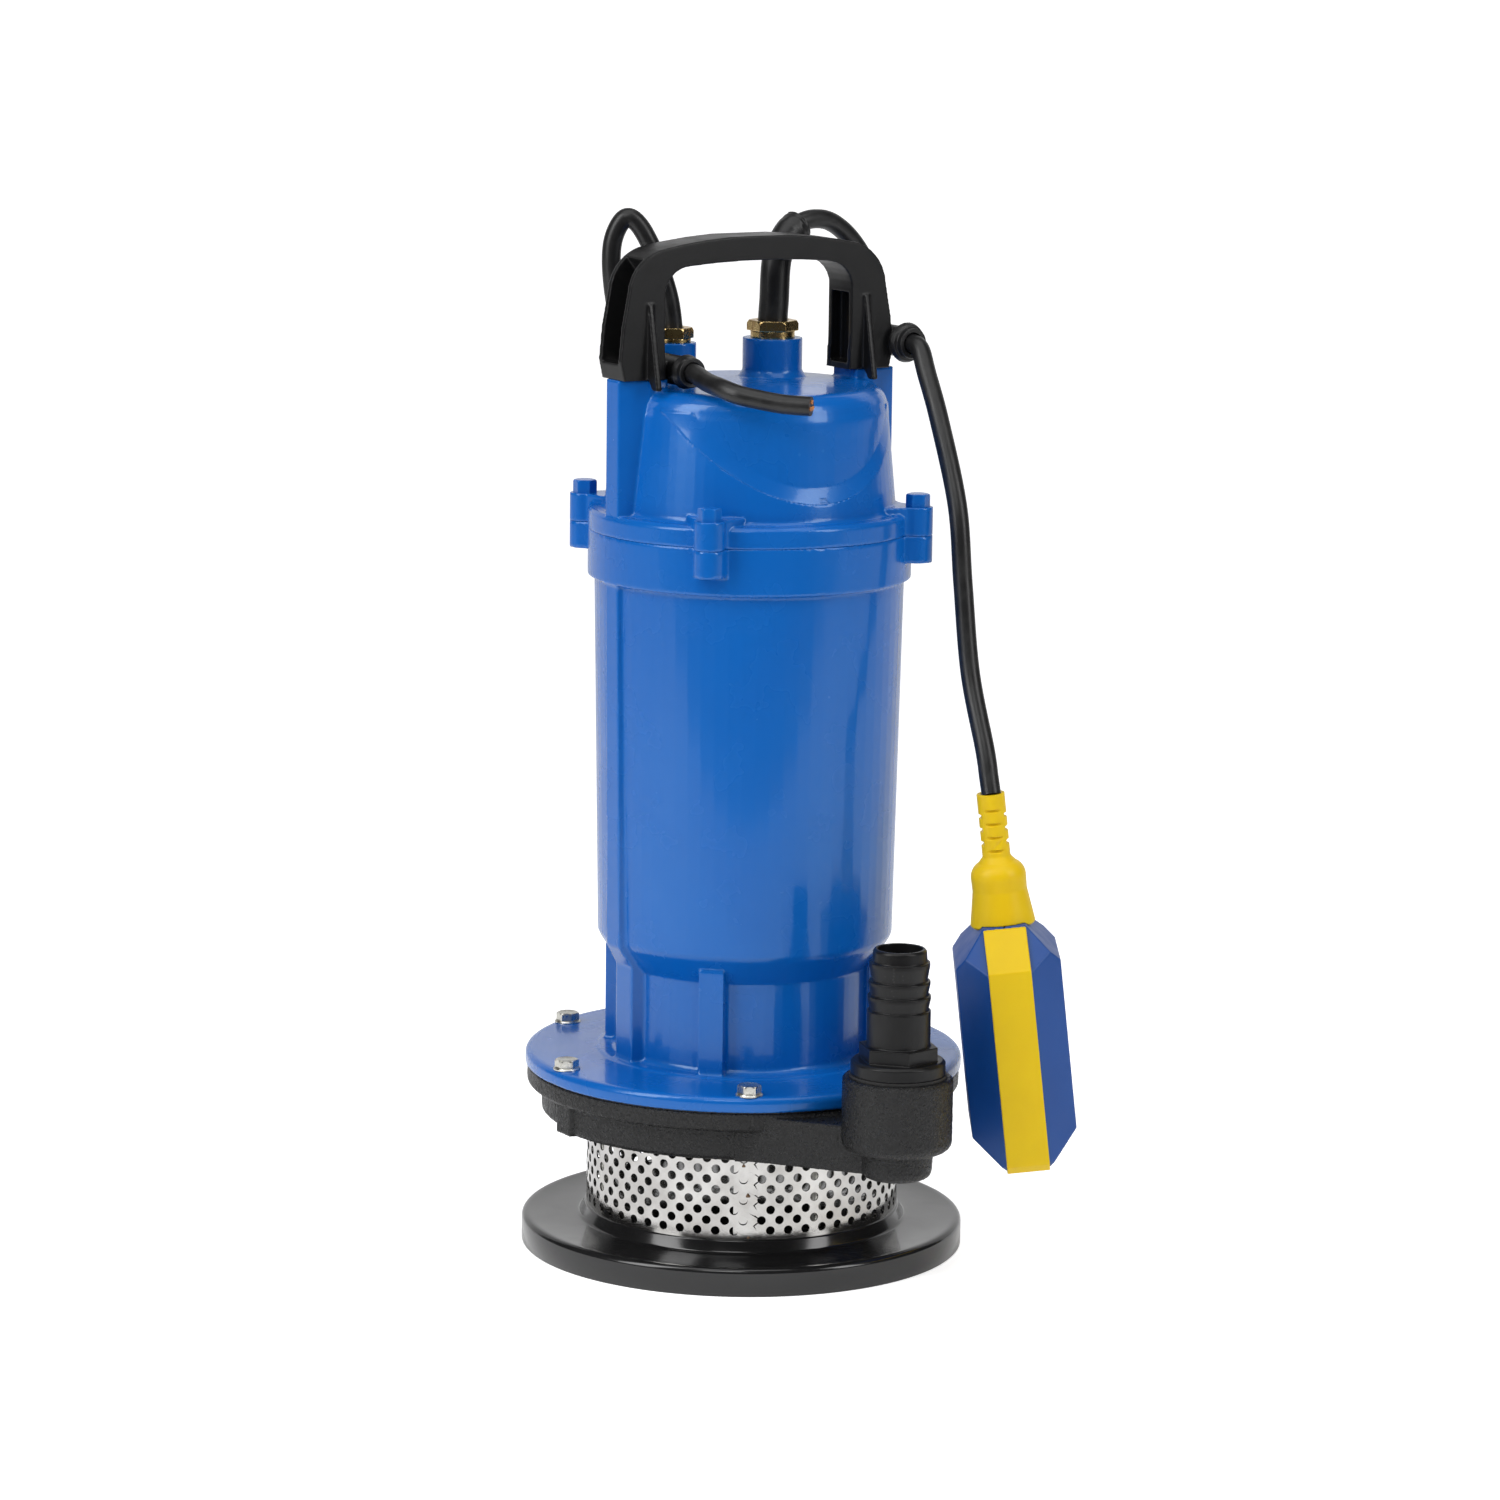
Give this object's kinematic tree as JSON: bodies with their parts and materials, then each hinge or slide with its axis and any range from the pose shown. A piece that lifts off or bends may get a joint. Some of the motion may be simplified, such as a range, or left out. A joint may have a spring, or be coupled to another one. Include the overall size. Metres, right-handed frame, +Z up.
{
  "type": "submersible sump pump",
  "caption": "Submersible pump with strainer foot, side outlet with hose tail, carrying handle and a float switch that swings on its cable.",
  "frame": {"origin": "centre of the underside of the base plate, on the pump axis", "axes": "+Z up along the pump shaft, X along the carrying handle, -Y towards the outlet elbow"},
  "size_m": [0.2208, 0.2675, 0.497],
  "materials": {
    "blue_paint": "glossy stoved enamel over cast aluminium",
    "black_enamel": "glossy black enamel on pressed steel",
    "black_casting": "rough sand casting under black paint",
    "cast_plate": "machined cast iron",
    "stainless_sheet": "polished perforated sheet",
    "zinc_fasteners": "zinc plated",
    "bearing_steel": "ground bearing steel",
    "shaft_steel": "turned steel",
    "impeller_brass": "cast brass, turned edges",
    "gland_brass": "machined brass, slightly tarnished",
    "black_plastic": "fine-textured moulded nylon",
    "cable_rubber": "satin extruded rubber sheath",
    "seal_rubber": "moulded nitrile",
    "seal_ceramic": "lapped ceramic",
    "laminations": "stacked electrical steel",
    "cast_aluminium": "die cast, turned faces",
    "copper_wire": "varnished copper",
    "capacitor_can": "moulded plastic can",
    "float_yellow": "soft moulded plastic",
    "float_blue": "satin moulded polypropylene",
    "switch_plastic": "moulded thermoset"
  },
  "bodies": {
    "pump": {"base_plate": "black_enamel", "strainer": "stainless_sheet", "tie_bolts": "zinc_fasteners", "volute": "black_casting", "volute_gasket": "seal_rubber", "hose_connector": "black_plastic", "connector_seal": "seal_rubber", "oil_chamber_cover": "cast_plate", "oil_cover_screws": "zinc_fasteners", "seal_seat": "seal_ceramic", "oil_seal": "seal_rubber", "motor_housing": "blue_paint", "flange_bolts": "zinc_fasteners", "lower_bearing_outer": "bearing_steel", "upper_bearing_outer": "bearing_steel", "stator_core": "laminations", "stator_windings": "copper_wire", "bearing_carrier": "cast_aluminium", "carrier_ring": "zinc_fasteners", "capacitor": "capacitor_can", "capacitor_bracket": "zinc_fasteners", "cover_seal": "seal_rubber", "top_cover": "blue_paint", "cover_bolts": "blue_paint", "handle": "black_plastic", "handle_screws": "zinc_fasteners", "float_gland_body": "gland_brass", "float_gland_seal": "seal_rubber", "float_gland_nut": "gland_brass", "power_gland_body": "gland_brass", "power_gland_seal": "seal_rubber", "power_gland_nut": "gland_brass", "power_grommet": "cable_rubber", "float_grommet": "cable_rubber", "power_cable": "cable_rubber", "power_cores": "copper_wire", "float_cable_loop": "cable_rubber", "float_cable_sleeve": "cable_rubber"},
    "rotor": {"shaft": "shaft_steel", "rotor_core": "laminations", "rotor_cage": "cast_aluminium", "impeller": "impeller_brass", "impeller_washer": "shaft_steel", "impeller_nut": "shaft_steel", "impeller_key": "shaft_steel", "seal_head": "seal_rubber", "lower_bearing_inner": "bearing_steel", "upper_bearing_inner": "bearing_steel"},
    "lower_ball_set": {"lower_bearing_balls": "bearing_steel"},
    "upper_ball_set": {"upper_bearing_balls": "bearing_steel"},
    "tether": {"float_tether": "cable_rubber"},
    "float": {"float_boot": "float_yellow", "float_band": "float_yellow", "float_shell_left": "float_blue", "float_shell_right": "float_blue", "float_lead": "cable_rubber", "ball_track": "switch_plastic", "microswitch": "switch_plastic"},
    "ball": {"switch_ball": "bearing_steel"},
    "lever": {"switch_lever": "shaft_steel"}
  },
  "joints": [
    {"name": "rotor_spin", "type": "hinge", "parent": "pump", "child": "rotor", "pos_m": [0, 0, 0.2], "axis": [0, 0, 1], "continuous": true},
    {"name": "lower_balls_orbit", "type": "hinge", "parent": "pump", "child": "lower_ball_set", "pos_m": [0, 0, 0.135], "axis": [0, 0, 1], "continuous": true},
    {"name": "upper_balls_orbit", "type": "hinge", "parent": "pump", "child": "upper_ball_set", "pos_m": [0, 0, 0.3175], "axis": [0, 0, 1], "continuous": true},
    {"name": "tether_swing", "type": "hinge", "parent": "pump", "child": "tether", "pos_m": [0.0778, -0.025, 0.43], "axis": [-0.988, 0.1547, 0], "range_deg": [0, 95]},
    {"name": "float_tilt", "type": "hinge", "parent": "tether", "child": "float", "pos_m": [0.06439, -0.11066, 0.239], "axis": [-0.988, 0.1547, 0], "range_deg": [0, 60]},
    {"name": "ball_roll", "type": "slide", "parent": "float", "child": "ball", "axis": [-0.0977, 0.0606, 0.9934], "range_m": [0, 0.044]},
    {"name": "lever_tip", "type": "hinge", "parent": "float", "child": "lever", "pos_m": [0.06981, -0.11402, 0.12296], "axis": [-0.527, -0.8499, 0], "range_deg": [0, 14]}
  ],
  "couplings": [
    {"joint": "lower_balls_orbit", "follows": "rotor_spin", "ratio": 0.38},
    {"joint": "upper_balls_orbit", "follows": "rotor_spin", "ratio": 0.38},
    {"joint": "lever_tip", "follows": "ball_roll", "rad_per_m": 5.5478}
  ]
}
